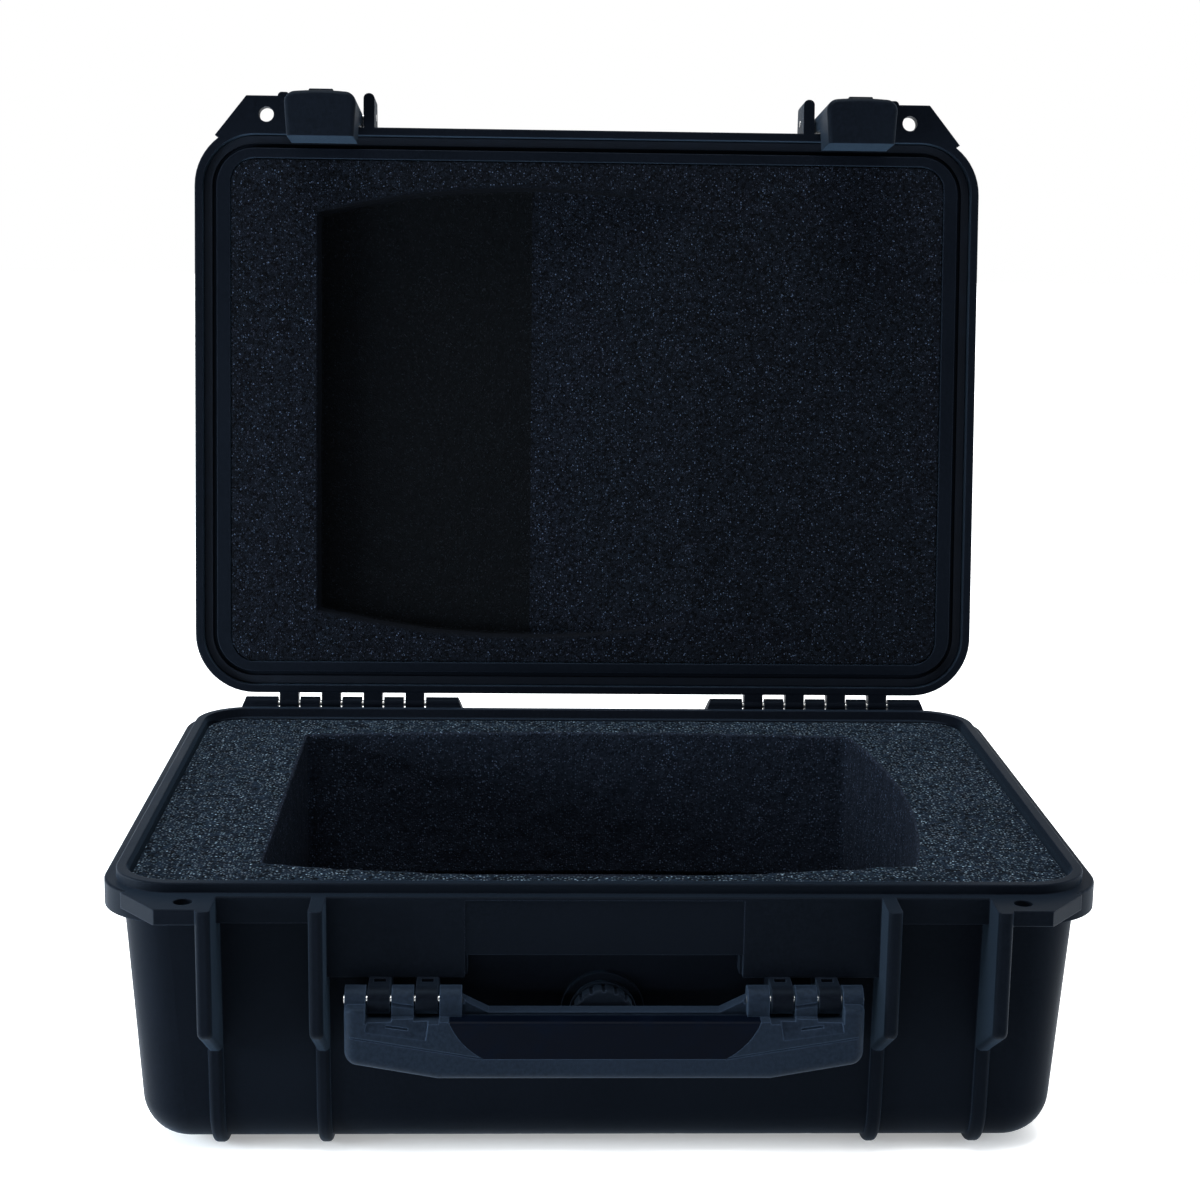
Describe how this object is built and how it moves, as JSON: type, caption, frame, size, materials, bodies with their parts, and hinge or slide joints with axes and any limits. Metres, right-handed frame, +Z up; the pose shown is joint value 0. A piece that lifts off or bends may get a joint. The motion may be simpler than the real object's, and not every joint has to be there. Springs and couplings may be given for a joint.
{
  "type": "defibrillator carry case",
  "caption": "Waterproof moulded carry case for a portable defibrillator, lid open, with cut foam, latches, swing handle and purge valve.",
  "frame": {"origin": "middle of the open case's box, on the plane under its runners", "axes": "+Z up, +X to the right seen from the front, -Y to the front where the handle is"},
  "size_m": [0.502, 0.483, 0.5389],
  "materials": {
    "case_plastic": "moulded polypropylene, satin with a fine texture",
    "foam": "open-cell charcoal foam",
    "grip_rubber": "overmoulded soft grip, matte",
    "latch_plastic": "moulded nylon, satin",
    "seal_rubber": "black seal rubber",
    "steel": "drawn stainless steel",
    "valve_plastic": "moulded plastic"
  },
  "bodies": {
    "base": {"base_floor_pad": "foam", "base_foam": "foam", "base_shell": "case_plastic", "handle_pin_left": "steel", "handle_pin_right": "steel", "hinge_pin_left": "steel", "hinge_pin_right": "steel", "valve_body": "valve_plastic", "valve_nut": "valve_plastic", "valve_o_ring": "seal_rubber"},
    "lid": {"latch_left_pin": "steel", "latch_right_pin": "steel", "lid_foam": "foam", "lid_gasket": "seal_rubber", "lid_shell": "case_plastic"},
    "handle": {"handle_frame": "latch_plastic", "handle_grip": "grip_rubber"},
    "valve_knob": {"valve_knob": "valve_plastic"},
    "latch_left": {"latch_left_lever": "latch_plastic"},
    "latch_right": {"latch_right_lever": "latch_plastic"},
    "button_left": {"latch_left_button": "latch_plastic"},
    "button_right": {"latch_right_button": "latch_plastic"}
  },
  "joints": [
    {"name": "lid_hinge", "type": "hinge", "parent": "base", "child": "lid", "pos_m": [0, 0.15229, 0.1501], "axis": [1, 0, 0], "range_deg": [0, 97.74]},
    {"name": "handle_swing", "type": "hinge", "parent": "base", "child": "handle", "pos_m": [0, -0.22761, 0.0975], "axis": [-1, 0, 0], "range_deg": [0, 95]},
    {"name": "valve_turn", "type": "hinge", "parent": "base", "child": "valve_knob", "pos_m": [0, -0.22761, 0.0815], "axis": [0, -1, 0], "range_deg": [0, 180]},
    {"name": "latch_left_swing", "type": "hinge", "parent": "lid", "child": "latch_left", "pos_m": [-0.16737, 0.21777, 0.52197], "axis": [-1, 0, 0], "range_deg": [0, 110]},
    {"name": "latch_left_press", "type": "slide", "parent": "latch_left", "child": "button_left", "axis": [0, -0.1347, -0.9909], "range_m": [0, 0.0018], "stiffness_N_per_m": 600},
    {"name": "latch_right_swing", "type": "hinge", "parent": "lid", "child": "latch_right", "pos_m": [0.16737, 0.21777, 0.52197], "axis": [-1, 0, 0], "range_deg": [0, 110]},
    {"name": "latch_right_press", "type": "slide", "parent": "latch_right", "child": "button_right", "axis": [0, -0.1347, -0.9909], "range_m": [0, 0.0018], "stiffness_N_per_m": 600}
  ]
}
